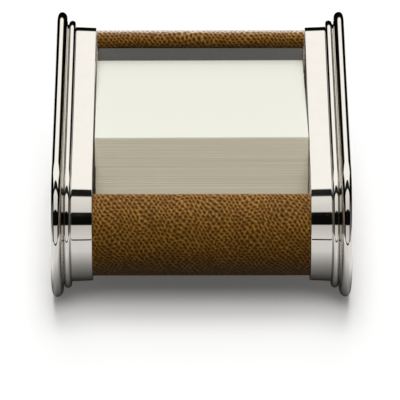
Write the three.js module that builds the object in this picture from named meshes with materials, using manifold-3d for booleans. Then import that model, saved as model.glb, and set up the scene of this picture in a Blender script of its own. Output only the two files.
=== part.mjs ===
// Open-topped note box. Two tall metal side castings with a stepped moulded
// edge carry a wooden trough between them. The trough has a half-round front
// nose and a rear wall with a round top edge, both wrapped in leather, and it
// holds a stack of loose note paper.
//
// Millimetres. +X to the right, +Y to the back, +Z up. The origin is on the
// table, under the middle of the box.
//
// The side profile is drawn around the centre of the nose arc. In it, f is the
// distance forward of that centre (towards -Y) and h the height above it.

import * as THREE from 'three';
import { mergeVertices } from 'three/addons/utils/BufferGeometryUtils.js';
import Module from 'manifold-3d';

const wasm = await Module();
wasm.setup();

// ---------------------------------------------------------------- dimensions

const CREST_GAP = 0.6;            // rim crest above the table, left by the glides

// side profile, as the collar band's surface follows it
const NOSE_R = 28.5;              // nose arc
const TOP_NORMAL = 78.4;          // degrees: the top edge falls 11.6 degrees to the front
const BACK_R = 15;                // rear top corner
const BACK_F = -123.46;           // its centre
const BACK_H = 39.12;
const HEEL_R = 8;                 // rear bottom corner

// stepped edge of a side casting: x, and height above the collar's surface
const RIM_CREST = 7.85;           // arched outer rim
const X_INNER = 53.3;             // polished inner face
const X_OUTER = 73.4;             // outer face
const EDGE = [
  [53.30, -0.60], [53.38, -0.36], [53.75, -0.22],               // eased inner edge
  [63.40, 0.20],                                                // collar band
  [63.65, 1.60], [64.25, 2.85], [65.50, 3.44], [66.75, 2.85],   // bead
  [67.30, 1.55], [67.65, 1.45],                                 // valley
  [67.70, 3.80], [67.90, 5.00], [68.40, 6.20], [69.45, 7.39],   // outer rim
  [70.90, RIM_CREST],
  [72.00, 7.39], [72.95, 6.20], [73.30, 5.00], [X_OUTER, 3.80],
  [X_OUTER, -0.30], [73.00, -0.70],
];
const WEB_T = 3.0;                // thickness of the casting's inner web
const WALL_INSET = -3.2;          // hollow behind the web
const LEDGE_X = 69.0;             // ledge that the outer panel sits on
const PANEL_INSET = -1.0;
const PANEL_T = 2.15;

// trough
const HALF_L = 53.15;             // half length of the wooden pieces and leather
const LEATHER_R = 26.0;
const LEATHER_T = 1.2;
const LIP_ANGLE = 52.65;          // where the nose arc turns into the lip
const LIP_R = 3.0;
const LIP_F = (LEATHER_R - LIP_R) * Math.cos(rad(LIP_ANGLE));
const LIP_H = (LEATHER_R - LIP_R) * Math.sin(rad(LIP_ANGLE));
const TURN_IN_H = 4.0;            // the leather ends this high inside the nose
const FLOOR_TOP = -17.7;
const FLOOR_BOTTOM = -24.7;
const REAR_FRONT_F = -128.4;      // rear board
const REAR_BACK_F = -134.5;
const REAR_TOP_H = 40.9;
const TONGUE_F = -130.6;          // behind this the rear board reaches up to the rail
const TONGUE_H = 42.3;
const REAR_LINING_H = 41.9;
const ROLL_F = -131.2;            // round top edge of the rear wall
const ROLL_H = 45.7;
const ROLL_R = 4.6;
const HEEL_WRAP_R = 4;            // the leather turns under the rear board
const HEEL_F = ROLL_F - ROLL_R + HEEL_WRAP_R;
const HEEL_H = -LEATHER_R + HEEL_WRAP_R;
const LINING_T = 0.5;
const COVER_T = 1.3;
const UNDER_JOIN_F = -126.3;      // the rear leather ends here under the floor

// note paper
const NOTE_W = 105.6;
const LOWER_W = 105.4;            // the lower pack is cut a little narrower
const NOTE_X = 0.05;
const NOTE_D = 103.6;             // clears the leather roll as it is lifted
const NOTE_FRONT_F = -22.35;
const NOTE_TURN = 0.35;           // degrees, the stack isn't quite square to the box
const STACK_BOTTOM = -17.15;
const PACK_SPLIT = 20.5;
const LEAF_SPLIT = 35.05;
const STACK_TOP = 36.05;

// screws: pan head, modelled at the thread's core diameter
const SCREW_R = 1.4;
const SCREW_L = 20;
const HEAD_R = 3.0;
const HEAD_T = 2.0;
const SCREW_HOLE_R = 1.65;
const SCREWS = {
  nose_upper: [18.0, 5.0],
  nose_lower: [16.8, -11.0],
  floor: [-62.0, -21.2],
  rear_upper: [-131.45, 28.0],
  rear_lower: [-131.45, -8.0],
};

// felt glides
const GLIDE_X = 70.7;
const GLIDE_W = 3.4;
const GLIDE_L = 21;
const LAND_Z = 1.6;               // flat milled across the rim for each glide
const GLIDES = { front: -15.5, rear: -115.0 };

const C_H = NOSE_R + RIM_CREST + CREST_GAP;                       // height of the nose centre
const F_FRONT = NOSE_R + RIM_CREST;
const F_BACK = BACK_F - BACK_R - RIM_CREST;
const C_Y = (F_FRONT + F_BACK) / 2;                               // puts the origin mid-depth

// ------------------------------------------------------------------- helpers

function rad(deg) { return deg * Math.PI / 180; }
const toY = (f) => C_Y - f;
const toZ = (h) => C_H + h;

function arc(cf, ch, r, a0, a1, steps) {
  const points = [];
  for (let i = 0; i <= steps; i++) {
    const a = rad(a0 + (a1 - a0) * i / steps);
    points.push([cf + r * Math.cos(a), ch + r * Math.sin(a)]);
  }
  return points;
}

// the side outline, grown or shrunk by d, from the bottom front round the top
function outline(d) {
  const backF = BACK_F, heelF = BACK_F - BACK_R + HEEL_R, heelH = -NOSE_R + HEEL_R;
  return [
    ...arc(0, 0, NOSE_R + d, -90, 0, 9),
    ...arc(0, 0, NOSE_R + d, 0, TOP_NORMAL, 8).slice(1),
    ...arc(backF, BACK_H, BACK_R + d, TOP_NORMAL, 90, 2),
    ...arc(backF, BACK_H, BACK_R + d, 90, 180, 8).slice(1),
    ...arc(heelF, heelH, HEEL_R + d, 180, 270, 6),
  ];
}

// triangles across a flat ring, wound the way the ring runs
function cap(ring) {
  const flat = ring.map((p) => new THREE.Vector2(p[1], p[2]));
  const way = Math.sign(THREE.ShapeUtils.area(flat));
  return THREE.ShapeUtils.triangulateShape(flat, []).map(([a, b, c]) =>
    Math.sign(THREE.ShapeUtils.area([flat[a], flat[b], flat[c]])) === way ? [a, b, c] : [a, c, b]);
}

// closed body through rings of equal length, with a flat cap at each end
function loft(rings) {
  const n = rings[0].length;
  const positions = [];
  for (const ring of rings) for (const p of ring) positions.push(...p);
  const index = [];
  for (let r = 0; r + 1 < rings.length; r++) {
    for (let i = 0; i < n; i++) {
      const j = (i + 1) % n;
      const a = r * n + i, b = r * n + j, c = (r + 1) * n + j, e = (r + 1) * n + i;
      index.push(a, b, c, a, c, e);
    }
  }
  const last = (rings.length - 1) * n;
  for (const [a, b, c] of cap(rings[0])) index.push(a, c, b);
  for (const [a, b, c] of cap(rings.at(-1))) index.push(last + a, last + b, last + c);
  const geometry = new THREE.BufferGeometry();
  geometry.setAttribute('position', new THREE.Float32BufferAttribute(positions, 3));
  geometry.setIndex(index);
  return faceOut(geometry);
}

// turns the faces outward if they point in
function faceOut(geometry) {
  const p = geometry.attributes.position, ix = geometry.index.array;
  const a = new THREE.Vector3(), b = new THREE.Vector3(), c = new THREE.Vector3();
  let volume = 0;
  for (let i = 0; i < ix.length; i += 3) {
    a.fromBufferAttribute(p, ix[i]); b.fromBufferAttribute(p, ix[i + 1]); c.fromBufferAttribute(p, ix[i + 2]);
    volume += a.dot(b.cross(c)) / 6;
  }
  if (volume < 0) for (let i = 0; i < ix.length; i += 3) [ix[i + 1], ix[i + 2]] = [ix[i + 2], ix[i + 1]];
  return geometry;
}

function merged(geometry) {
  const g = geometry.clone();
  g.deleteAttribute('normal');
  g.deleteAttribute('uv');
  return mergeVertices(g, 1e-4);
}

function toSolid(geometry) {
  const g = merged(geometry);
  return new wasm.Manifold(new wasm.Mesh({
    numProp: 3,
    vertProperties: new Float32Array(g.attributes.position.array),
    triVerts: new Uint32Array(g.index.array),
  }));
}

function fromSolid(solid) {
  const m = solid.getMesh();
  const g = new THREE.BufferGeometry();
  g.setAttribute('position', new THREE.Float32BufferAttribute(Array.from(m.vertProperties), 3));
  g.setIndex(Array.from(m.triVerts));
  return g;
}

function cut(geometry, tools) {
  let solid = toSolid(geometry);
  for (const tool of tools) solid = solid.subtract(toSolid(tool));
  return fromSolid(solid);
}

// section drawn in (f, h), run along X
function prism(points, x0, x1) {
  const shape = new THREE.Shape(points.map(([f, h]) => new THREE.Vector2(toY(f), toZ(h))));
  const g = new THREE.ExtrudeGeometry(shape, { depth: x1 - x0, bevelEnabled: false, curveSegments: 1 });
  g.applyMatrix4(new THREE.Matrix4().makeBasis(
    new THREE.Vector3(0, 1, 0), new THREE.Vector3(0, 0, 1), new THREE.Vector3(1, 0, 0)));
  g.translate(x0, 0, 0);
  return merged(g);
}

// box given by its limits in x, f and h
function block(x0, x1, f0, f1, h0, h1) {
  const g = new THREE.BoxGeometry(x1 - x0, Math.abs(f1 - f0), h1 - h0);
  g.translate((x0 + x1) / 2, toY((f0 + f1) / 2), toZ((h0 + h1) / 2));
  return g;
}

// round bar along X
function bar(x0, x1, f, h, r, sides = 12) {
  const g = new THREE.CylinderGeometry(r, r, x1 - x0, sides);
  g.rotateZ(-Math.PI / 2);
  g.translate((x0 + x1) / 2, toY(f), toZ(h));
  return g;
}

// the same piece on the other side of the box
function mirrored(geometry) {
  const g = merged(geometry);
  const p = g.attributes.position;
  for (let i = 0; i < p.count; i++) p.setX(i, -p.getX(i));
  return faceOut(g);
}

// ----------------------------------------------------------------- materials

const finish = (color, roughness, metalness) => () =>
  new THREE.MeshStandardMaterial({ color, roughness, metalness });
const polishedNickel = finish(0xe6e2da, 0.06, 1.0);
const leather = finish(0x6a4a26, 0.55, 0.0);
const greyLining = finish(0x66645f, 0.85, 0.0);
const darkBoard = finish(0x2a2826, 0.9, 0.0);
const wood = finish(0xb48a5c, 0.7, 0.0);
const felt = finish(0x3b3a38, 0.95, 0.0);
const steel = finish(0xb9b9b6, 0.35, 1.0);
const paper = finish(0xeeeee2, 0.8, 0.0);
const paperEdge = finish(0xb4ae9a, 0.85, 0.0);

const box = new THREE.Group();
function add(name, geometry, material, parent = box) {
  const mesh = new THREE.Mesh(geometry, material());
  mesh.name = name;
  parent.add(mesh);
  return mesh;
}

// ------------------------------------------------------------- side castings

const ring = (x, d) => outline(d).map(([f, h]) => [x, toY(f), toZ(h)]);

function sideCasting() {
  const rings = EDGE.map(([x, d]) => ring(x, d));
  rings.push(ring(LEDGE_X, -0.7), ring(LEDGE_X, WALL_INSET));     // rebate and ledge for the panel
  rings.push(ring(X_INNER + WEB_T, WALL_INSET));                  // hollow behind the web
  const tools = [];
  for (const [f, h] of Object.values(SCREWS)) tools.push(bar(X_INNER - 2, X_INNER + WEB_T + 2, f, h, SCREW_HOLE_R));
  for (const f of Object.values(GLIDES)) {
    const g = new THREE.BoxGeometry(9, GLIDE_L + 1, 4);
    g.translate(GLIDE_X, toY(f), LAND_Z - 2);
    tools.push(g);
  }
  return cut(loft(rings), tools);
}

function outerPanel() {
  const x = LEDGE_X + 0.05;
  return loft([ring(x, PANEL_INSET), ring(x + PANEL_T - 0.3, PANEL_INSET), ring(x + PANEL_T, PANEL_INSET - 0.3)]);
}

const casting = sideCasting();
const panel = outerPanel();
add('right_side_casting', casting, polishedNickel);
add('left_side_casting', mirrored(casting), polishedNickel);
add('right_outer_panel', panel, polishedNickel);
add('left_outer_panel', mirrored(panel), polishedNickel);

// ------------------------------------------------------------ wooden trough

// blind holes for the screws at both ends of a wooden piece
function screwed(geometry, names) {
  const tools = [];
  for (const name of names) {
    const [f, h] = SCREWS[name];
    const deep = SCREW_L - WEB_T + 1.5;
    tools.push(bar(HALF_L - deep, HALF_L + 5, f, h, SCREW_HOLE_R));
    tools.push(bar(-HALF_L - 5, -HALF_L + deep, f, h, SCREW_HOLE_R));
  }
  return cut(geometry, tools);
}

const coreR = LEATHER_R - LEATHER_T - 0.1;
const coreLipR = LIP_R - LEATHER_T - 0.1;
const noseBackF = LIP_F - coreLipR;
const noseLowAngle = -Math.acos(noseBackF / coreR) * 180 / Math.PI;
const noseCore = [
  ...arc(0, 0, coreR, noseLowAngle, LIP_ANGLE, 12),
  ...arc(LIP_F, LIP_H, coreLipR, LIP_ANGLE, 180, 6).slice(1),
];
add('front_nose_core', screwed(prism(noseCore, -HALF_L, HALF_L), ['nose_upper', 'nose_lower']), wood);

const floorFrontF = noseBackF - 0.25;
const floorAngle = -Math.acos(floorFrontF / coreR) * 180 / Math.PI;
const floorBoard = [
  [REAR_FRONT_F + 0.1, FLOOR_TOP], [REAR_FRONT_F + 0.1, FLOOR_BOTTOM],
  ...arc(0, 0, coreR, -90, floorAngle, 4),
  [floorFrontF, FLOOR_TOP],
];
add('floor_board', screwed(prism(floorBoard, -HALF_L, HALF_L), ['floor']), wood);

const rearBoard = [
  [REAR_FRONT_F, FLOOR_BOTTOM], [REAR_FRONT_F, REAR_TOP_H], [TONGUE_F, REAR_TOP_H],
  [TONGUE_F, TONGUE_H], [REAR_BACK_F, TONGUE_H],
  ...arc(HEEL_F, HEEL_H, HEEL_WRAP_R - LEATHER_T - 0.1, 180, 270, 4),
];
add('rear_board', screwed(prism(rearBoard, -HALF_L, HALF_L), ['rear_upper', 'rear_lower']), wood);
add('rear_top_rail', merged(bar(-HALF_L, HALF_L, ROLL_F, ROLL_H, ROLL_R - LEATHER_T - 0.1, 16)), wood);

// ------------------------------------------------------------------- leather

// front: from under the floor, up round the nose, over the lip and down inside
const frontWrap = [
  [-2, -LEATHER_R],
  ...arc(0, 0, LEATHER_R, -90, LIP_ANGLE, 18),
  ...arc(LIP_F, LIP_H, LIP_R, LIP_ANGLE, 180, 8).slice(1),
  [LIP_F - LIP_R, TURN_IN_H], [LIP_F - LIP_R + LEATHER_T, TURN_IN_H],
  ...arc(LIP_F, LIP_H, LIP_R - LEATHER_T, 180, LIP_ANGLE, 8),
  ...arc(0, 0, LEATHER_R - LEATHER_T, LIP_ANGLE, -90, 18).slice(1),
  [-2, -LEATHER_R + LEATHER_T],
];
add('leather_front_wrap', prism(frontWrap, -HALF_L, HALF_L), leather);

// rear: over the round top edge, down the back and under the floor
const rearWrap = [
  ...arc(ROLL_F, ROLL_H, ROLL_R, -75, 180, 16),
  ...arc(HEEL_F, HEEL_H, HEEL_WRAP_R, 180, 270, 4),
  [UNDER_JOIN_F, -LEATHER_R], [UNDER_JOIN_F, -LEATHER_R + LEATHER_T],
  ...arc(HEEL_F, HEEL_H, HEEL_WRAP_R - LEATHER_T, 270, 180, 4),
  ...arc(ROLL_F, ROLL_H, ROLL_R - LEATHER_T, 180, -75, 16),
];
add('leather_rear_wrap', prism(rearWrap, -HALF_L, HALF_L), leather);

// ------------------------------------------------------- linings, base cover

const floorLiningTop = FLOOR_TOP + LINING_T;
add('floor_lining', merged(block(-52.7, 52.7, REAR_FRONT_F + 0.2, floorFrontF - 0.1, FLOOR_TOP, floorLiningTop)), greyLining);
add('rear_lining', merged(block(-52.4, 52.4, REAR_FRONT_F + 0.1, REAR_FRONT_F + 0.1 + LINING_T, floorLiningTop + 0.05, REAR_LINING_H)), greyLining);
add('front_lining', merged(block(-52.6, 52.6, noseBackF - 0.1 - LINING_T, noseBackF - 0.1, floorLiningTop + 0.05, TURN_IN_H - 0.1)), greyLining);
add('base_cover', merged(block(-52.7, 52.7, UNDER_JOIN_F + 0.3, -2.3, FLOOR_BOTTOM - 0.05 - COVER_T, FLOOR_BOTTOM - 0.05)), darkBoard);

// -------------------------------------------------------------------- screws

function screw(f, h) {
  const profile = [
    [0, 0], [SCREW_R * 0.2, 0], [SCREW_R, 3], [SCREW_R, SCREW_L], [HEAD_R, SCREW_L],
    [HEAD_R, SCREW_L + HEAD_T * 0.5], [HEAD_R * 0.6, SCREW_L + HEAD_T], [0, SCREW_L + HEAD_T],
  ].map(([x, y]) => new THREE.Vector2(x, y));
  const g = new THREE.LatheGeometry(profile, 10);
  g.rotateZ(-Math.PI / 2);                                        // tip towards -X, head towards +X
  g.translate(X_INNER + WEB_T + 0.05 - SCREW_L, toY(f), toZ(h));
  return merged(g);
}
for (const [name, [f, h]] of Object.entries(SCREWS)) {
  const g = screw(f, h);
  add(`right_screw_${name}`, faceOut(g), steel);
  add(`left_screw_${name}`, mirrored(g), steel);
}

// -------------------------------------------------------------------- glides

function glide(x, f) {
  const r = GLIDE_W / 2, s = GLIDE_L / 2 - r;
  const shape = new THREE.Shape();
  shape.moveTo(r, -s);
  shape.lineTo(r, s);
  shape.absarc(0, s, r, 0, Math.PI, false);
  shape.lineTo(-r, -s);
  shape.absarc(0, -s, r, Math.PI, 2 * Math.PI, false);
  const g = new THREE.ExtrudeGeometry(shape, { depth: LAND_Z - 0.05, bevelEnabled: false, curveSegments: 6 });
  g.translate(x, toY(f), 0);
  return merged(g);
}
for (const [place, f] of Object.entries(GLIDES)) {
  add(`${place}_right_glide`, glide(GLIDE_X, f), felt);
  add(`${place}_left_glide`, glide(-GLIDE_X, f), felt);
}

// ---------------------------------------------------------------- note paper

function notes(width, h0, h1, dx, df, turn) {
  const g = new THREE.BoxGeometry(width, NOTE_D, h1 - h0);
  g.rotateZ(rad(turn));
  g.translate(NOTE_X + dx, toY(NOTE_FRONT_F - NOTE_D / 2 + df), toZ((h0 + h1) / 2));
  return merged(g);
}
add('lower_note_pack', notes(LOWER_W, STACK_BOTTOM, PACK_SPLIT, 0.1, 0.0, NOTE_TURN - 0.1), paperEdge);
add('upper_note_pack', notes(NOTE_W, PACK_SPLIT + 0.05, LEAF_SPLIT, -0.1, 0.1, NOTE_TURN), paperEdge);
add('top_notes', notes(NOTE_W, LEAF_SPLIT + 0.05, STACK_TOP, -0.1, 0.1, NOTE_TURN), paper);

export default box;
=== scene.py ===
import math

import bpy
import numpy as np
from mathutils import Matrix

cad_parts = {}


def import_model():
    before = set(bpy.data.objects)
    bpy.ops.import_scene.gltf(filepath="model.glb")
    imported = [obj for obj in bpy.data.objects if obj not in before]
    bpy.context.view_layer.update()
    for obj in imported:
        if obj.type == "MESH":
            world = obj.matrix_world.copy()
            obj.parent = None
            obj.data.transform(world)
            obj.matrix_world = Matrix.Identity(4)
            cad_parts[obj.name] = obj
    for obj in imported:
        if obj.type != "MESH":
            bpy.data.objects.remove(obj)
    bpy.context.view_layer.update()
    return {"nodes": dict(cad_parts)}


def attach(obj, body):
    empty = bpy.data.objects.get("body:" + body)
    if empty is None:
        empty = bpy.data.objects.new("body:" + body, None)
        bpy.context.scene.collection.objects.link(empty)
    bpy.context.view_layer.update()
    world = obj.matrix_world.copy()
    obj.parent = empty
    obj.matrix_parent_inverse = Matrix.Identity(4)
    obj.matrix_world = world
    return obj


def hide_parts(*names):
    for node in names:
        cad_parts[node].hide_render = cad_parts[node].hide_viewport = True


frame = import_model()

MM = 0.001
rad = math.radians

# ------------------------------------------------------------------ dimensions
# millimetres; f is the distance forward of the nose arc's centre, h the height above it

NOSE_R, TOP_NORMAL = 28.5, 78.4
BACK_R, BACK_F, BACK_H = 15.0, -123.46, 39.12
HEEL_R = 8.0
HEEL_F, HEEL_H = BACK_F - BACK_R + HEEL_R, -NOSE_R + HEEL_R
RIM_CREST, X_INNER, X_OUTER = 7.85, 53.3, 73.4
C_H = NOSE_R + RIM_CREST + 0.6
C_Y = ((NOSE_R + RIM_CREST) + (BACK_F - BACK_R - RIM_CREST)) / 2

HALF_L = 53.15
LEATHER_R, LEATHER_T = 26.0, 1.2
LIP_ANGLE, LIP_R = 52.65, 3.0
LIP_F = (LEATHER_R - LIP_R) * math.cos(rad(LIP_ANGLE))
LIP_H = (LEATHER_R - LIP_R) * math.sin(rad(LIP_ANGLE))
TURN_IN_H = 4.0
ROLL_F, ROLL_H, ROLL_R = -131.2, 45.7, 4.6
HEEL_WRAP_R = 4.0
WRAP_F, WRAP_H = ROLL_F - ROLL_R + HEEL_WRAP_R, -LEATHER_R + HEEL_WRAP_R
UNDER_JOIN_F = -126.3

LANDS, LAND_HALF, LAND_Z = (-15.5, -115.0), 11.0, 1.6

NOTE_W, LOWER_W, NOTE_X = 105.6, 105.4, 0.05
NOTE_D, NOTE_FRONT_F, NOTE_TURN = 103.6, -22.35, 0.35
STACK_BOTTOM, PACK_SPLIT, LEAF_SPLIT, STACK_TOP = -17.15, 20.5, 35.05, 36.05


def world(x, f, h):
    """points in metres, in the frame's axes"""
    x, f, h = np.broadcast_arrays(np.asarray(x, float), np.asarray(f, float), np.asarray(h, float))
    return np.stack([x, C_Y - f, C_H + h], -1) * MM


# --------------------------------------------------------------------- helpers

def mesh_object(name, co, faces, smooth=True, sharp=35.0):
    mesh = bpy.data.meshes.new(name)
    mesh.from_pydata(np.asarray(co).reshape(-1, 3).tolist(), [], faces)
    mesh.validate()
    mesh.polygons.foreach_set("use_smooth", [smooth] * len(mesh.polygons))
    if smooth and sharp:
        mesh.set_sharp_from_angle(angle=rad(sharp))
    mesh.update()
    ob = bpy.data.objects.new(name, mesh)
    bpy.context.scene.collection.objects.link(ob)
    return ob


def closed_grid(co, caps=True):
    """faces of a tube of rings: co[ring, point], closed round each ring, with a cap at each end"""
    rings, n = co.shape[:2]
    faces = []
    for r in range(rings - 1):
        for i in range(n):
            j = (i + 1) % n
            faces.append((r * n + i, r * n + j, (r + 1) * n + j, (r + 1) * n + i))
    if caps:
        faces.append(tuple(range(n - 1, -1, -1)))
        faces.append(tuple((rings - 1) * n + i for i in range(n)))
    return faces


def outward(co, faces):
    """turns the faces round if the closed shape is inside out"""
    p = np.asarray(co).reshape(-1, 3)
    volume = 0.0
    for f in faces:
        a = p[f[0]]
        for k in range(1, len(f) - 1):
            volume += np.dot(a, np.cross(p[f[k]], p[f[k + 1]]))
    return [tuple(reversed(f)) for f in faces] if volume < 0 else faces


def arc_samples(cf, ch, r, a0, a1, steps):
    t = np.linspace(0, 1, steps + 1)
    return [(cf, ch, r, a0 + (a1 - a0) * k) for k in t]


def straight(a, b, steps):
    """samples between two supports, ends left out, closer together near both ends"""
    out = []
    for i in range(1, steps):
        t = i / steps
        t = 0.5 - 0.5 * math.cos(math.pi * t)
        out.append(tuple(a[k] + (b[k] - a[k]) * t for k in range(4)))
    return out


def side_outline(fine=1.0):
    n = lambda k: max(4, int(round(k * fine)))
    nose = arc_samples(0, 0, NOSE_R, -90, TOP_NORMAL, n(120))
    back = arc_samples(BACK_F, BACK_H, BACK_R, TOP_NORMAL, 180, n(72))
    heel = arc_samples(HEEL_F, HEEL_H, HEEL_R, 180, 270, n(36))
    end = (HEEL_F, HEEL_H, HEEL_R, 270)
    start = (0, 0, NOSE_R, 270)
    out = list(nose)
    out += straight(nose[-1], back[0], n(26)) + back
    out += straight(back[-1], heel[0], n(14)) + heel
    # along the underside, with samples at the ends of the lands milled for the glides
    t = [0.5 - 0.5 * math.cos(math.pi * i / 24) for i in range(1, 24)]
    for f in LANDS:
        for e in (f - LAND_HALF, f + LAND_HALF):
            t += [(e - 0.04 - HEEL_F) / -HEEL_F, (e + 0.04 - HEEL_F) / -HEEL_F]
    out += [tuple(end[k] + (start[k] - end[k]) * u for k in range(4)) for u in sorted(t)]
    return np.array(out)


def ring_points(support, x, d):
    a = np.radians(support[:, 3])
    return world(np.full(len(a), x), support[:, 0] + (support[:, 2] + d) * np.cos(a),
                 support[:, 1] + (support[:, 2] + d) * np.sin(a))


def bezier(p0, p1, p2, p3, steps):
    t = np.linspace(0, 1, steps + 1)[:, None]
    p0, p1, p2, p3 = map(np.array, (p0, p1, p2, p3))
    return ((1 - t) ** 3 * p0 + 3 * (1 - t) ** 2 * t * p1 + 3 * (1 - t) * t * t * p2 + t ** 3 * p3).tolist()


def arc2(cx, cd, r, a0, a1, steps):
    return [[cx + r * math.cos(rad(a0 + (a1 - a0) * i / steps)), cd + r * math.sin(rad(a0 + (a1 - a0) * i / steps))]
            for i in range(steps + 1)]


# ------------------------------------------------------------------- materials

def material(name):
    m = bpy.data.materials.new(name)
    m.use_nodes = True
    nt = m.node_tree
    bsdf = nt.nodes["Principled BSDF"]
    return m, nt, bsdf


def coords(nt, scale=(1, 1, 1)):
    tc = nt.nodes.new("ShaderNodeTexCoord")
    mp = nt.nodes.new("ShaderNodeMapping")
    mp.inputs["Scale"].default_value = scale
    nt.links.new(tc.outputs["Object"], mp.inputs["Vector"])
    return mp.outputs["Vector"]


def noise(nt, vec, scale, detail=3.0, rough=0.55):
    n = nt.nodes.new("ShaderNodeTexNoise")
    n.inputs["Scale"].default_value = scale
    n.inputs["Detail"].default_value = detail
    n.inputs["Roughness"].default_value = rough
    nt.links.new(vec, n.inputs["Vector"])
    return n.outputs["Fac"]


def ramp(nt, fac, stops):
    r = nt.nodes.new("ShaderNodeValToRGB")
    e = r.color_ramp.elements
    while len(e) > 1:
        e.remove(e[-1])
    e[0].position, e[0].color = stops[0][0], (*stops[0][1], 1)
    for p, c in stops[1:]:
        k = e.new(p)
        k.color = (*c, 1)
    nt.links.new(fac, r.inputs["Fac"])
    return r.outputs["Color"]


def remap(nt, fac, lo, hi, a=0.0, b=1.0):
    r = nt.nodes.new("ShaderNodeMapRange")
    r.inputs["From Min"].default_value = a
    r.inputs["From Max"].default_value = b
    r.inputs["To Min"].default_value = lo
    r.inputs["To Max"].default_value = hi
    nt.links.new(fac, r.inputs["Value"])
    return r.outputs["Result"]


def bump(nt, bsdf, height, strength, distance):
    b = nt.nodes.new("ShaderNodeBump")
    b.inputs["Strength"].default_value = strength
    b.inputs["Distance"].default_value = distance
    nt.links.new(height, b.inputs["Height"])
    nt.links.new(b.outputs["Normal"], bsdf.inputs["Normal"])
    return b


def mix(nt, fac, a, b, blend="MIX"):
    m = nt.nodes.new("ShaderNodeMix")
    m.data_type = "RGBA"
    m.blend_type = blend
    for sock, v in ((m.inputs[0], fac), (m.inputs[6], a), (m.inputs[7], b)):
        if hasattr(v, "links"):
            nt.links.new(v, sock)
        elif isinstance(v, (int, float)):
            sock.default_value = v
        else:
            sock.default_value = (*v, 1)
    return m.outputs[2]


def attribute(nt, name):
    a = nt.nodes.new("ShaderNodeAttribute")
    a.attribute_name = name
    return a.outputs["Fac"]


# polished nickel: a warm mirror with a trace of polishing haze
def make_nickel():
    m, nt, b = material("polished_nickel")
    v = coords(nt)
    b.inputs["Metallic"].default_value = 1.0
    haze = noise(nt, v, 140.0, 4.0, 0.6)
    nt.links.new(ramp(nt, haze, [(0.3, (0.668, 0.648, 0.608)), (0.7, (0.652, 0.632, 0.592))]), b.inputs["Base Color"])
    nt.links.new(remap(nt, noise(nt, v, 60.0, 3.0, 0.5), 0.018, 0.045, 0.3, 0.7), b.inputs["Roughness"])
    bump(nt, b, noise(nt, v, 55.0, 2.0, 0.5), 0.10, 0.00006)
    return m


# embossed pebble-grain leather; the mesh carries the grain's relief in "grain"
def make_leather():
    m, nt, b = material("brown_leather")
    v = coords(nt)
    g = attribute(nt, "grain")
    # the colour follows the grain's height, dark in the pits and pale on the crests: partly the leather's own tone,
    # partly painted shade in the pits and a painted highlight on the crests
    body = ramp(nt, g, [(0.10, (0.060, 0.020, 0.002)), (0.40, (0.140, 0.053, 0.005)),
                        (0.68, (0.255, 0.112, 0.012)), (0.86, (0.525, 0.275, 0.050))])
    tone = ramp(nt, noise(nt, v, 90.0, 3.0, 0.6), [(0.3, (0.80, 0.78, 0.74)), (0.7, (1.0, 1.0, 1.0))])
    nt.links.new(mix(nt, 1.0, body, tone, "MULTIPLY"), b.inputs["Base Color"])
    nt.links.new(remap(nt, g, 0.65, 0.42), b.inputs["Roughness"])
    # dressed leather: hardly any gloss seen square on, a pale sheen where it turns away
    away = nt.nodes.new("ShaderNodeLayerWeight")
    away.inputs["Blend"].default_value = 0.5
    nt.links.new(remap(nt, away.outputs["Facing"], 0.12, 0.6, 0.30, 0.75), b.inputs["Specular IOR Level"])
    fine = noise(nt, v, 3800.0, 3.0, 0.6)
    bump(nt, b, fine, 0.25, 0.00008)
    return m


def make_fabric(name, light, dark, scale, rough=0.95, strength=0.5):
    m, nt, b = material(name)
    v = coords(nt)
    n = noise(nt, v, scale, 5.0, 0.7)
    nt.links.new(ramp(nt, n, [(0.32, dark), (0.68, light)]), b.inputs["Base Color"])
    b.inputs["Roughness"].default_value = rough
    b.inputs["Sheen Weight"].default_value = 0.25
    b.inputs["Sheen Roughness"].default_value = 0.5
    bump(nt, b, n, strength, 0.0002)
    return m


def make_wood():
    m, nt, b = material("core_wood")
    v = coords(nt, (0.35, 3.0, 3.0))
    w = nt.nodes.new("ShaderNodeTexWave")
    w.wave_type = "RINGS"
    w.rings_direction = "X"
    w.inputs["Scale"].default_value = 55.0
    w.inputs["Distortion"].default_value = 5.0
    w.inputs["Detail"].default_value = 3.0
    w.inputs["Detail Scale"].default_value = 1.6
    nt.links.new(v, w.inputs["Vector"])
    nt.links.new(ramp(nt, w.outputs["Fac"], [(0.0, (0.36, 0.215, 0.100)), (0.55, (0.52, 0.345, 0.175)), (1.0, (0.60, 0.42, 0.235))]), b.inputs["Base Color"])
    b.inputs["Roughness"].default_value = 0.68
    bump(nt, b, noise(nt, v, 900.0, 4.0, 0.65), 0.3, 0.0002)
    return m


def make_board():
    m, nt, b = material("base_board")
    v = coords(nt)
    n = noise(nt, v, 1400.0, 5.0, 0.7)
    nt.links.new(ramp(nt, n, [(0.3, (0.010, 0.010, 0.010)), (0.7, (0.026, 0.025, 0.024))]), b.inputs["Base Color"])
    nt.links.new(remap(nt, n, 0.72, 0.9), b.inputs["Roughness"])
    bump(nt, b, n, 0.4, 0.0001)
    return m


def make_steel():
    m, nt, b = material("screw_steel")
    v = coords(nt, (1.0, 1.0, 1.0))
    b.inputs["Metallic"].default_value = 1.0
    n = noise(nt, v, 900.0, 4.0, 0.6)
    nt.links.new(ramp(nt, n, [(0.3, (0.50, 0.50, 0.49)), (0.7, (0.62, 0.62, 0.61))]), b.inputs["Base Color"])
    nt.links.new(remap(nt, n, 0.25, 0.42), b.inputs["Roughness"])
    bump(nt, b, n, 0.2, 0.00005)
    return m


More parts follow.
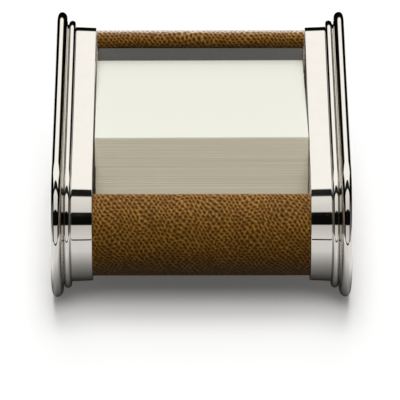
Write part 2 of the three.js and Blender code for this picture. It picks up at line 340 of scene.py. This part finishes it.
# uncoated note paper; "cut" is 1 on the guillotined edges and 0 on the sheet's faces
def make_paper():
    m, nt, b = material("note_paper")
    v = coords(nt)
    tooth = noise(nt, v, 2200.0, 4.0, 0.65)
    face = ramp(nt, tooth, [(0.3, (0.760, 0.760, 0.680)), (0.7, (0.772, 0.772, 0.692))])
    lines = noise(nt, coords(nt, (8.0, 8.0, 2600.0)), 1.0, 2.0, 0.6)
    broad = noise(nt, coords(nt, (3.0, 3.0, 420.0)), 1.0, 2.0, 0.5)
    # the guillotined edges are paler than the faces: partly their own creamier tone, partly painted light that lifts
    # the upright front of the pile towards its lit top
    cut = ramp(nt, lines, [(0.28, (0.810, 0.750, 0.565)), (0.5, (0.890, 0.830, 0.640)), (0.72, (0.930, 0.870, 0.680))])
    shade = ramp(nt, broad, [(0.3, (0.93, 0.93, 0.93)), (0.7, (1.0, 1.0, 1.0))])
    edge = mix(nt, 1.0, cut, shade, "MULTIPLY")
    nt.links.new(mix(nt, attribute(nt, "cut"), face, edge), b.inputs["Base Color"])
    b.inputs["Roughness"].default_value = 0.85
    b.inputs["Specular IOR Level"].default_value = 0.25
    bump(nt, b, mix(nt, attribute(nt, "cut"), tooth, lines), 0.25, 0.00005)
    return m


NICKEL = make_nickel()
LEATHER = make_leather()
LINING = make_fabric("grey_lining", (0.350, 0.342, 0.325), (0.255, 0.248, 0.238), 1500.0)
FELT = make_fabric("glide_felt", (0.062, 0.060, 0.058), (0.030, 0.029, 0.028), 1900.0, 1.0, 0.8)
WOOD, BOARD, STEEL, PAPER = make_wood(), make_board(), make_steel(), make_paper()


def paint(ob, mat):
    ob.data.materials.clear()
    ob.data.materials.append(mat)
    return ob


nodes = frame["nodes"]
for name, ob in nodes.items():
    if "screw" in name:
        paint(ob, STEEL)
    elif "glide" in name:
        paint(ob, FELT)
    elif name in ("front_nose_core", "floor_board", "rear_board", "rear_top_rail"):
        paint(ob, WOOD)
    elif name.endswith("lining"):
        paint(ob, LINING)
    elif name == "base_cover":
        paint(ob, BOARD)
    elif name.startswith("leather"):
        paint(ob, LEATHER)
    elif "note" in name:
        paint(ob, PAPER)
    else:
        paint(ob, NICKEL)

# --------------------------------------------------------------- side castings

BEAD_X, BEAD_D, BEAD_R = 65.50, 1.60, 1.85
RIM_X, RIM_D = 70.87, 3.80
LEDGE_X, WALL_INSET, WEB_T = 69.0, -3.2, 3.0


def edge_profile():
    """(x, d) across the stepped edge, from the inner face to the outer one"""
    p = [[X_INNER, -1.30]]
    p += arc2(X_INNER + 0.28, -0.49, 0.28, 180, 92, 6)                  # eased inner edge
    p += [[X_INNER + 1.0, -0.18], [56.0, -0.10], [60.0, 0.06], [62.4, 0.16], [63.1, 0.19]]   # collar band
    p += arc2(63.25, 0.55, 0.36, 275, 360, 5)[1:]                       # fillet up to the bead
    p += arc2(BEAD_X, BEAD_D, BEAD_R, 180, 10, 26)                      # bead
    p += arc2(67.52, 1.62, 0.18, 200, 355, 6)                           # valley
    p += bezier((67.72, RIM_D - 1.6), (67.72, RIM_D - 1.0), (67.72, RIM_D - 0.5), (67.72, RIM_D), 4)[1:]
    p += bezier((67.72, RIM_D), (67.72, RIM_D + 2.24), (RIM_X - 1.68, RIM_CREST), (RIM_X, RIM_CREST), 22)[1:]
    p += bezier((RIM_X, RIM_CREST), (RIM_X + 1.60, RIM_CREST), (X_OUTER, RIM_D + 2.24), (X_OUTER, RIM_D), 22)[1:]
    p += [[X_OUTER, 2.4], [X_OUTER, 1.0]]
    p += arc2(X_OUTER - 0.45, -0.25, 0.45, 0, -90, 6)                   # eased outer corner
    return p


def casting(side):
    support = side_outline()
    rings = [ring_points(support, x, d) for x, d in edge_profile()]
    rings.append(ring_points(support, LEDGE_X, -0.70))
    rings.append(ring_points(support, LEDGE_X, WALL_INSET))
    rings.append(ring_points(support, X_INNER + WEB_T, WALL_INSET))
    co = np.array(rings)
    co[..., 0] *= side
    f = C_Y - co[..., 1] / MM
    for land in LANDS:
        cut = (np.abs(f - land) < LAND_HALF) & (co[..., 2] < LAND_Z * MM)
        co[..., 2] = np.where(cut, LAND_Z * MM, co[..., 2])
    faces = closed_grid(co)
    co, faces = co.reshape(-1, 3), outward(co, faces)
    ob = mesh_object(("right" if side > 0 else "left") + "_casting_polished", co, faces)
    return ob


def outer_panel(side):
    support = side_outline(0.6)
    x = LEDGE_X + 0.05
    prof = [(x, -1.0)] + [(x + 1.75 + 0.4 * math.sin(rad(a)), -1.0 - 0.4 * (1 - math.cos(rad(a)))) for a in range(0, 91, 15)]
    rings = np.array([ring_points(support, px, pd) for px, pd in prof])
    rings[..., 0] *= side
    faces = outward(rings, closed_grid(rings))
    return mesh_object(("right" if side > 0 else "left") + "_panel_polished", rings.reshape(-1, 3), faces)


for side, word in ((1, "right"), (-1, "left")):
    ob = paint(casting(side), NICKEL)
    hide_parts(f"{word}_side_casting")
    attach(ob, "box")
    ob = paint(outer_panel(side), NICKEL)
    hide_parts(f"{word}_outer_panel")
    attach(ob, "box")

# --------------------------------------------------------------------- leather

PITCH, ROW, SHIFT = 2.43, 1.85, 1.05     # lattice of the grain's pits, mm
PIT_LONG, PIT_WIDE = 0.90, 0.60
RELIEF = 0.32                           # depth of the pits, mm


def grain_field(x, s, seed):
    """height 0 to 1 of an embossed grain: a loose lattice of small slanting pits with raised ridges between them"""
    rng = np.random.default_rng(seed)
    wx, ws = np.zeros(x.shape), np.zeros(x.shape)
    for k in range(12):
        ang = rng.uniform(0, 2 * math.pi)
        wl = rng.uniform(11.0, 40.0)
        ph = rng.uniform(0, 2 * math.pi, 2)
        arg = 2 * math.pi / wl * (x * math.cos(ang) + s * math.sin(ang))
        wx += 0.26 * np.sin(arg + ph[0])
        ws += 0.26 * np.sin(arg + ph[1])
    x, s = x + wx, s + ws
    q = s / ROW
    p = (x - SHIFT * q) / PITCH
    ip, iq = np.floor(p).astype(int), np.floor(q).astype(int)
    p0, q0 = ip.min() - 3, iq.min() - 3
    size = (int(ip.max() - p0) + 4, int(iq.max() - q0) + 4)
    jx = rng.normal(0, 0.06, size).clip(-0.2, 0.2) * PITCH
    js = rng.normal(0, 0.06, size).clip(-0.2, 0.2) * ROW
    deep = rng.uniform(0.82, 1.0, size)
    turn = np.radians(rng.normal(-48, 8, size))
    wide = rng.uniform(0.92, 1.10, size)
    pit = np.zeros(x.shape)
    for a in (-1, 0, 1, 2):
        for b in (-1, 0, 1, 2):
            cp, cq = ip + a, iq + b
            k = (cp - p0, cq - q0)
            dx = x - (cp * PITCH + cq * SHIFT + jx[k])
            ds = s - (cq * ROW + js[k])
            c, n = np.cos(turn[k]), np.sin(turn[k])
            u = (dx * c + ds * n) / (PIT_LONG * wide[k])
            v = (-dx * n + ds * c) / (PIT_WIDE * wide[k])
            pit = np.maximum(pit, deep[k] * np.exp(-(u * u + v * v)))
    fine = np.zeros(x.shape)
    for k in range(26):
        ang = rng.uniform(0, 2 * math.pi)
        wl = rng.uniform(0.9, 2.2)
        fine += np.sin(2 * math.pi / wl * (x * math.cos(ang) + s * math.sin(ang)) + rng.uniform(0, 2 * math.pi))
    fine = fine / 26 ** 0.5
    return np.clip(1.0 - pit - 0.13 * (1 - pit) * (1 + fine), 0, 1)


def path_points(segments):
    """points and outward normals along a chain of (f, h) arcs and lines, about STEP apart"""
    pts, nrm = [], []
    for seg in segments:
        if seg[0] == "arc":
            _, cf, ch, r, a0, a1 = seg
            steps = max(3, int(round(abs(rad(a1 - a0)) * r / STEP)))
            for i in range(steps + 1):
                a = rad(a0 + (a1 - a0) * i / steps)
                pts.append((cf + r * math.cos(a), ch + r * math.sin(a)))
                nrm.append((math.cos(a), math.sin(a)))
        else:
            _, f0, h0, f1, h1, nf, nh = seg
            steps = max(2, int(round(math.hypot(f1 - f0, h1 - h0) / STEP)))
            for i in range(steps + 1):
                t = i / steps
                pts.append((f0 + (f1 - f0) * t, h0 + (h1 - h0) * t))
                nrm.append((nf, nh))
    keep = [0]
    for i in range(1, len(pts)):
        if math.dist(pts[i], pts[keep[-1]]) > 0.02:
            keep.append(i)
    return np.array(pts)[keep], np.array(nrm)[keep]


STEP = 0.33


def wrap(name, segments, seed, node):
    """a skin with the grain pressed into its outer face"""
    pts, nrm = path_points(segments)
    s = np.concatenate([[0], np.cumsum(np.hypot(*np.diff(pts, axis=0).T))])
    cols = int(round(2 * HALF_L / STEP))
    x = np.linspace(-HALF_L, HALF_L, cols + 1)
    xx, ss = np.meshgrid(x, s)
    g = grain_field(xx, ss, seed)
    # the grain fades where the skin is pared at its edges
    fade = np.clip(np.minimum(ss - s[0], s[-1] - ss) / 1.2, 0, 1)
    g = g * fade
    depth = RELIEF * (1 - g) + 0.02
    of = pts[:, 0][:, None] - nrm[:, 0][:, None] * depth
    oh = pts[:, 1][:, None] - nrm[:, 1][:, None] * depth
    inner = pts - nrm * LEATHER_T
    outer_co = world(xx, of, oh)
    inner_co = world(np.broadcast_to(x, xx.shape), np.broadcast_to(inner[:, 0][:, None], xx.shape),
                     np.broadcast_to(inner[:, 1][:, None], xx.shape))
    rows = len(pts)
    w = cols + 1
    co = np.concatenate([outer_co.reshape(-1, 3), inner_co.reshape(-1, 3)])
    off = rows * w
    idx = np.arange(rows * w).reshape(rows, w)
    a, b, c, d = idx[:-1, :-1].ravel(), idx[:-1, 1:].ravel(), idx[1:, 1:].ravel(), idx[1:, :-1].ravel()
    faces = np.stack([a, b, c, d], 1).tolist()
    faces += np.stack([d + off, c + off, b + off, a + off], 1).tolist()
    for i in range(cols):
        faces.append([idx[0, i + 1], idx[0, i], idx[0, i] + off, idx[0, i + 1] + off])
        faces.append([idx[-1, i], idx[-1, i + 1], idx[-1, i + 1] + off, idx[-1, i] + off])
    for i in range(rows - 1):
        faces.append([idx[i, 0], idx[i + 1, 0], idx[i + 1, 0] + off, idx[i, 0] + off])
        faces.append([idx[i + 1, -1], idx[i, -1], idx[i, -1] + off, idx[i + 1, -1] + off])
    # which way round the outer face looks
    p0, p1, p3 = co[idx[5, 5]], co[idx[5, 6]], co[idx[6, 5]]
    n = np.cross(p1 - p0, p3 - p0)
    want = np.array([0, -nrm[5, 0], nrm[5, 1]])
    if np.dot(n, want) < 0:
        faces = [list(reversed(f)) for f in faces]
    ob = mesh_object(name, co, [[int(k) for k in f] for f in faces], sharp=60.0)
    at = ob.data.attributes.new("grain", "FLOAT", "POINT")
    at.data.foreach_set("value", np.concatenate([g.ravel(), np.full(rows * w, 0.3)]).astype(np.float32))
    paint(ob, LEATHER)
    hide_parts(node)
    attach(ob, "box")
    return ob


SKINS = [wrap("leather_nose_skin", [
    ("line", -2.0, -LEATHER_R, 0.0, -LEATHER_R, 0.0, -1.0),
    ("arc", 0, 0, LEATHER_R, -90, LIP_ANGLE),
    ("arc", LIP_F, LIP_H, LIP_R, LIP_ANGLE, 180),
    ("line", LIP_F - LIP_R, LIP_H, LIP_F - LIP_R, TURN_IN_H, -1.0, 0.0),
], 11, "leather_front_wrap"), wrap("leather_rear_skin", [
    ("arc", ROLL_F, ROLL_H, ROLL_R, -75, 180),
    ("line", ROLL_F - ROLL_R, ROLL_H, WRAP_F - HEEL_WRAP_R, WRAP_H, -1.0, 0.0),
    ("arc", WRAP_F, WRAP_H, HEEL_WRAP_R, 180, 270),
    ("line", WRAP_F, WRAP_H - HEEL_WRAP_R, UNDER_JOIN_F, WRAP_H - HEEL_WRAP_R, 0.0, -1.0),
], 23, "leather_rear_wrap")]

# ------------------------------------------------------------------ note paper


def note_pack(width, h0, h1, dx, df, turn, seed, bundle, jitter, dish):
    """a pile of sheets: bundles with slightly uneven edges, a fine step between each and the next"""
    rng = np.random.default_rng(seed)
    cx, cf = NOTE_X + dx, NOTE_FRONT_F - NOTE_D / 2 + df
    count = max(2, int(round((h1 - h0) / bundle)))
    cuts = np.linspace(h0, h1, count + 1)
    if count > 4:
        cuts[1:-1] += rng.uniform(-0.3, 0.3, count - 1) * bundle
    per = 24
    edge = np.linspace(-1, 1, per + 1)
    loop = np.array([(t, -1) for t in edge[:-1]] + [(1, t) for t in edge[:-1]] +
                    [(-t, 1) for t in edge[:-1]] + [(-1, -t) for t in edge[:-1]])
    drift = np.cumsum(rng.normal(0, 0.02, (count, 2)), 0)
    drift -= drift.mean(0)
    rings = []
    for k in range(count):
        ox = np.clip(drift[k, 0] + rng.normal(0, jitter), -0.05, 0.05)
        of = np.clip(drift[k, 1] + rng.normal(0, jitter), -0.12, 0.12)
        t = rad(turn + rng.normal(0, 0.015))
        hw, hd = width / 2 - 0.06, NOTE_D / 2 - 0.13
        lo, hi = cuts[k], cuts[k + 1]
        step = min(0.05, (hi - lo) * 0.25)
        for hh, inset in ((lo, 0.10), (lo + step, 0.0), (hi - step, 0.0), (hi, 0.10 if k < count - 1 else 0.02)):
            px, pf = loop[:, 0] * (hw - inset), loop[:, 1] * (hd - inset)
            # turned the same way as the packs below: +X towards the back on the right
            qx = px * math.cos(t) - (-pf) * math.sin(t)
            qy = px * math.sin(t) + (-pf) * math.cos(t)
            rings.append(world(cx + ox + qx, cf - qy + of, np.full(len(px), hh)))
    co = np.array(rings)
    n = co.shape[1]
    faces = closed_grid(co, caps=False)
    flat = co.reshape(-1, 3)
    # both faces of the pile are grids, so that the top sheet can carry a faint waviness
    grid = np.linspace(-1, 1, per + 1)
    extra = []
    for which, ring in ((0, 0), (1, len(rings) - 1)):
        corner = [co[ring][0], co[ring][per], co[ring][2 * per], co[ring][3 * per]]
        index = {}
        for i in range(per + 1):
            for j in range(per + 1):
                if j == 0 and i < per: index[i, j] = ring * n + i
                elif i == per and j < per: index[i, j] = ring * n + per + j
                elif j == per and i > 0: index[i, j] = ring * n + 2 * per + (per - i)
                elif i == 0 and j > 0: index[i, j] = ring * n + 3 * per + (per - j)
                else:
                    a, b = (grid[i] + 1) / 2, (grid[j] + 1) / 2
                    p = (corner[0] * (1 - a) * (1 - b) + corner[1] * a * (1 - b) + corner[2] * a * b + corner[3] * (1 - a) * b)
                    if which and dish:
                        p = p - np.array([0, 0, dish * MM * math.sin(math.pi * a) * math.sin(math.pi * b)])
                    extra.append(p)
                    index[i, j] = len(flat) + len(extra) - 1
        for i in range(per):
            for j in range(per):
                q = (index[i, j], index[i + 1, j], index[i + 1, j + 1], index[i, j + 1])
                faces.append(q if which else tuple(reversed(q)))
    return flat, extra, faces


def build_pack(name, width, h0, h1, dx, df, turn, seed, node, body, bundle, jitter, dish=0.0):
    flat, extra, faces = note_pack(width, h0, h1, dx, df, turn, seed, bundle, jitter, dish)
    co = np.concatenate([flat, np.array(extra)])
    faces = outward(co, faces)
    ob = mesh_object(name, co, faces, smooth=False)
    at = ob.data.attributes.new("cut", "FLOAT", "FACE")
    up = np.zeros(len(ob.data.polygons) * 3)
    ob.data.polygons.foreach_get("normal", up)
    up = up.reshape(-1, 3)
    at.data.foreach_set("value", (np.abs(up[:, 2]) < 0.9).astype(np.float32))
    paint(ob, PAPER)
    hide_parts(node)
    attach(ob, body)
    return ob


SHEETS = [
    build_pack("lower_pack_sheets", LOWER_W, STACK_BOTTOM, PACK_SPLIT, 0.1, 0.0, NOTE_TURN - 0.1, 5, "lower_note_pack", "lower_notes", 0.55, 0.02),
    build_pack("upper_pack_sheets", NOTE_W, PACK_SPLIT + 0.05, LEAF_SPLIT, -0.1, 0.1, NOTE_TURN, 6, "upper_note_pack", "upper_notes", 0.50, 0.02),
    build_pack("top_sheets", NOTE_W, LEAF_SPLIT + 0.05, STACK_TOP, -0.1, 0.1, NOTE_TURN, 7, "top_notes", "top_leaves", 0.12, 0.02, dish=0.03),
]

# ---------------------------------------------------------------------- camera

CAM_F, CAM_E, CAM_YAW = 4650.0, rad(23.3), rad(0.184)
cam_data = bpy.data.cameras.new("camera")
cam_data.sensor_width = 36.0
cam_data.lens = CAM_F * 36.0 / 400.0
cam_data.clip_start, cam_data.clip_end = 0.1, 60.0
cam = bpy.data.objects.new("camera", cam_data)
bpy.context.scene.collection.objects.link(cam)
cam.location = (-7.4 * MM, (C_Y - 2096.3) * MM, (C_H + 915.0) * MM)
cam.rotation_euler = (rad(90) - CAM_E, 0.0, -CAM_YAW)
bpy.context.scene.camera = cam

# ----------------------------------------------------------------- studio light

scene = bpy.context.scene
scene.view_settings.view_transform = "Standard"
scene.view_settings.look = "None"
scene.view_settings.exposure = 0.0
scene.view_settings.gamma = 1.0


def floor_material():
    m, nt, b = material("studio_floor")
    v = coords(nt)
    nt.links.new(ramp(nt, noise(nt, v, 3.0, 2.0, 0.5), [(0.3, (0.915, 0.915, 0.915)), (0.7, (0.925, 0.925, 0.925))]), b.inputs["Base Color"])
    b.inputs["Roughness"].default_value = 0.9
    b.inputs["Specular IOR Level"].default_value = 0.0
    # a faint glow all over the floor: painted light that lifts the shadow round the box
    b.inputs["Emission Color"].default_value = (1.0, 0.97, 0.95, 1.0)
    b.inputs["Emission Strength"].default_value = 0.10
    # painted shade, seen only in the polished metal: for reflected rays the table darkens towards the box and under it
    at = nt.nodes.new("ShaderNodeSeparateXYZ")
    nt.links.new(v, at.inputs[0])
    wide = nt.nodes.new("ShaderNodeMath")
    wide.operation = "ABSOLUTE"
    nt.links.new(at.outputs[0], wide.inputs[0])
    path = nt.nodes.new("ShaderNodeLightPath")
    dark = path.outputs["Is Glossy Ray"]
    for part in (remap(nt, at.outputs[1], 0.85, 0.10, (C_Y - 5) * MM, (C_Y - 77) * MM),
                 remap(nt, at.outputs[1], 1.0, 0.0, (C_Y + 20) * MM, (C_Y + 45) * MM),
                 remap(nt, wide.outputs[0], 1.0, 0.0, 0.085, 0.110)):
        times = nt.nodes.new("ShaderNodeMath")
        times.operation = "MULTIPLY"
        nt.links.new(dark, times.inputs[0])
        nt.links.new(part, times.inputs[1])
        dark = times.outputs[0]
    painted_shade_bsdf = nt.nodes.new("ShaderNodeBsdfDiffuse")
    painted_shade_bsdf.inputs["Color"].default_value = (0.0, 0.0, 0.0, 1.0)
    both = nt.nodes.new("ShaderNodeMixShader")
    nt.links.new(dark, both.inputs[0])
    nt.links.new(b.outputs[0], both.inputs[1])
    nt.links.new(painted_shade_bsdf.outputs[0], both.inputs[2])
    nt.links.new(both.outputs[0], nt.nodes["Material Output"].inputs["Surface"])
    return m


FLOOR = floor_material()


def flat_ring(name, x0, x1, y0, y1, hole=None):
    if hole is None:
        co = [(x0, y0, 0), (x1, y0, 0), (x1, y1, 0), (x0, y1, 0)]
        faces = [(0, 1, 2, 3)]
    else:
        a0, a1, b0, b1 = hole
        co = [(x0, y0, 0), (x1, y0, 0), (x1, y1, 0), (x0, y1, 0), (a0, b0, 0), (a1, b0, 0), (a1, b1, 0), (a0, b1, 0)]
        faces = [(0, 1, 5, 4), (1, 2, 6, 5), (2, 3, 7, 6), (3, 0, 4, 7)]
    return mesh_object(name, co, faces, smooth=False)


TABLE = (-0.26, 0.26, -0.275, 0.42)
near = paint(flat_ring("studio_table", *TABLE), FLOOR)
far = paint(flat_ring("studio_sweep", -9, 9, -9, 9, hole=TABLE), FLOOR)
far.visible_glossy = False
for ob in (near, far):
    ob.visible_diffuse = False          # no light bounced up from the table


def soft_light(name, size, energy, location, rotation, pieces, glossy):
    """a soft light for a few pieces alone"""
    data = bpy.data.lights.new(name, "AREA")
    data.shape = "RECTANGLE"
    data.size, data.size_y = size
    data.energy = energy
    ob = bpy.data.objects.new(name, data)
    scene.collection.objects.link(ob)
    ob.location = location
    ob.rotation_euler = rotation
    ob.visible_glossy, ob.visible_diffuse = glossy, not glossy
    ob.visible_camera = False
    lit =bpy.data.collections.new("lit_by_" + name)
    for piece in pieces:
        lit.objects.link(piece)
    ob.light_linking.receiver_collection = lit


# from the front for the stack of paper, from behind for the sheen on the leather roll
soft_light("front_fill", (0.5, 0.3), 2.0, (0.0, C_Y * MM - 0.72, C_H * MM + 0.54), (rad(90 - 37), 0.0, 0.0), SHEETS, False)
soft_light("back_light", (0.5, 0.2), 10.0, (0.0, 0.08 + 0.52, 0.08 + 0.47), (rad(-(90 - 42)), 0.0, 0.0), SKINS[1:], True)

for sheets in SHEETS:
    sheets.visible_diffuse = False      # nor off the paper


def studio_world():
    """softboxes and dark gaps by direction for the polished surfaces, an even sky for the rest"""
    w = bpy.data.worlds.new("studio")
    w.use_nodes = True
    nt = w.node_tree
    nt.nodes.clear()
    new, link = nt.nodes.new, nt.links.new
    out = new("ShaderNodeOutputWorld")
    tc = new("ShaderNodeTexCoord")
    sep = new("ShaderNodeSeparateXYZ")
    link(tc.outputs["Generated"], sep.inputs[0])

    def math_node(op, a, b=None):
        m = new("ShaderNodeMath")
        m.operation = op
        for s, v in zip(m.inputs, (a, b)):
            if v is None:
                continue
            if isinstance(v, (int, float)):
                s.default_value = v
            else:
                link(v, s)
        return m.outputs[0]

    # angle up from the front horizon, over the top, in degrees
    r = math_node("MULTIPLY", math_node("ARCTAN2", sep.outputs[2], math_node("MULTIPLY", sep.outputs[1], -1.0)), 180 / math.pi)
    fac = math_node("DIVIDE", math_node("ADD", r, 180.0), 360.0)

    def bands(stops, strength, tint=(1.0, 0.985, 0.96)):
        cr = new("ShaderNodeValToRGB")
        e = cr.color_ramp.elements
        e[0].position, e[1].position = 0.0, 1.0
        e[0].color = e[1].color = (*[stops[0][1] * t for t in tint], 1)
        for a, v in stops[1:-1]:
            e.new((a + 180) / 360).color = (*[v * t for t in tint], 1)
        link(fac, cr.inputs["Fac"])
        bg = new("ShaderNodeBackground")
        bg.inputs["Strength"].default_value = strength
        return cr.outputs["Color"], bg

    # softboxes end at the sides, and low down there is nothing but the dark room
    side = math_node("ABSOLUTE", sep.outputs[0])
    def fade(value, a, b, rest=0.0):
        m = new("ShaderNodeMapRange")
        m.inputs["From Min"].default_value = a
        m.inputs["From Max"].default_value = b
        m.inputs["To Min"].default_value = 1.0
        m.inputs["To Max"].default_value = rest
        link(value, m.inputs["Value"])
        return m.outputs["Result"]

    def scaled(colour, factor):
        vm = new("ShaderNodeVectorMath")
        vm.operation = "SCALE"
        link(colour, vm.inputs[0])
        link(factor, vm.inputs["Scale"])
        return vm.outputs[0]

    col, glossy = bands([(-180, 0.0), (-9.3, 0.0), (-9.25, 0.47), (19.1, 0.36), (19.5, 0.002),
                         (44.2, 0.002), (44.6, 0.44), (77.1, 0.55), (77.5, 0.006), (93.9, 0.005), (94.3, 0.68),
                         (141.5, 0.69), (145.5, 0.003), (180, 0.0)], 2.0)
    # two more softboxes straight out to the sides, for the outer panels, dim from the horizon up
    wing = new("ShaderNodeVectorMath")
    wing.operation = "SCALE"
    wing.inputs[0].default_value = (0.40, 0.394, 0.384)
    link(fade(sep.outputs[2], -0.16, -0.12, 0.25), wing.inputs["Scale"])
    flanks = new("ShaderNodeMix")
    flanks.data_type = "RGBA"
    link(fade(side, 0.975, 0.945), flanks.inputs[0])
    link(scaled(col, fade(side, 0.70, 0.76)), flanks.inputs[6])
    link(wing.outputs[0], flanks.inputs[7])
    link(flanks.outputs[2], glossy.inputs["Color"])

    col, plain = bands([(-180, 0.02), (-10, 0.02), (20, 0.02), (36, 0.03), (41, 0.80), (78, 0.80), (84, 0.30),
                        (94, 0.95), (118, 0.95), (122, 0.40), (148, 0.40), (154, 0.03), (180, 0.02)], 6.4, (1.0, 1.0, 1.0))
    link(scaled(col, fade(side, 0.10, 0.24, 0.06)), plain.inputs["Color"])
    white = new("ShaderNodeBackground")
    white.inputs["Strength"].default_value = 1.05
    white.inputs["Color"].default_value = (1, 1, 1, 1)
    lp = new("ShaderNodeLightPath")
    m1 = new("ShaderNodeMixShader")
    link(lp.outputs["Is Glossy Ray"], m1.inputs[0])
    link(plain.outputs[0], m1.inputs[1])
    link(glossy.outputs[0], m1.inputs[2])
    m2 = new("ShaderNodeMixShader")
    link(lp.outputs["Is Camera Ray"], m2.inputs[0])
    link(m1.outputs[0], m2.inputs[1])
    link(white.outputs[0], m2.inputs[2])
    link(m2.outputs[0], out.inputs["Surface"])
    scene.world = w


studio_world()
